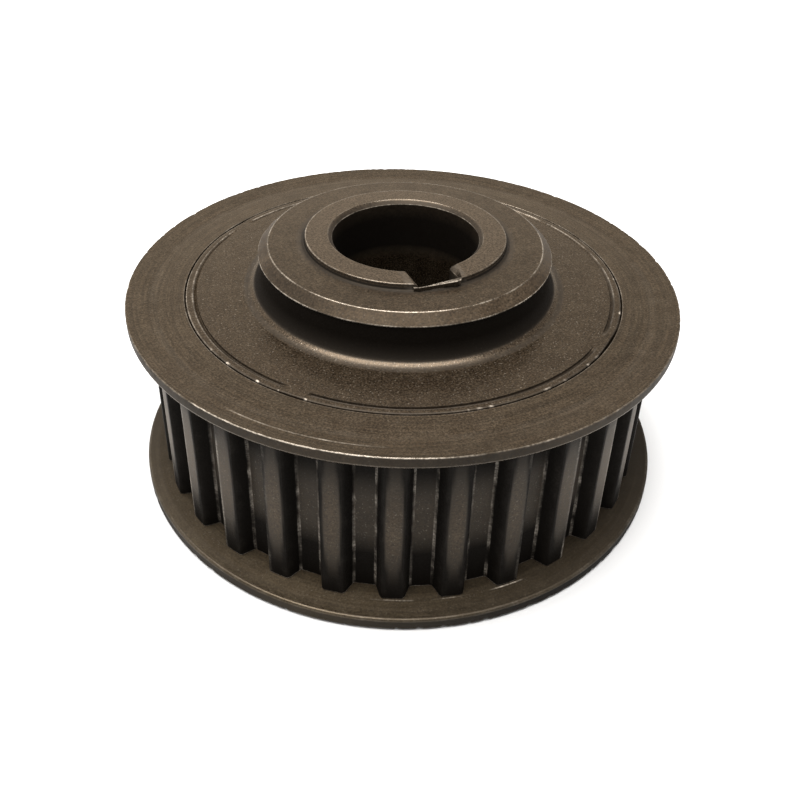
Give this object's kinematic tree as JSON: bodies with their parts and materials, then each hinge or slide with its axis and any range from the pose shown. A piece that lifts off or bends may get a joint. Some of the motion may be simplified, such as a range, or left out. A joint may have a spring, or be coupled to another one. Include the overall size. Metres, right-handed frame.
{
  "type": "timing belt pulley",
  "caption": "Flanged timing belt pulley with trapezoidal teeth, two staked flanges, and a stepped hub with a keyed bore.",
  "frame": {"origin": "centre of the bore at the lower hub face, the lowest point of the pulley", "axes": "+Z along the bore axis, from the lower hub face towards the boss; the keyway is on the -Y side"},
  "size_m": [0.1012, 0.1012, 0.0457],
  "materials": {
    "cast_body": "dark brown-black oxide over cast steel, semi-gloss, finely mottled, bare metal at the edges",
    "pressed_flange": "dark brown oxide over pressed and turned steel, semi-gloss, worn bright along the rim"
  },
  "bodies": {
    "root": {"toothed_hub": "cast_body", "upper_flange": "pressed_flange", "lower_flange": "pressed_flange"}
  },
  "joints": []
}
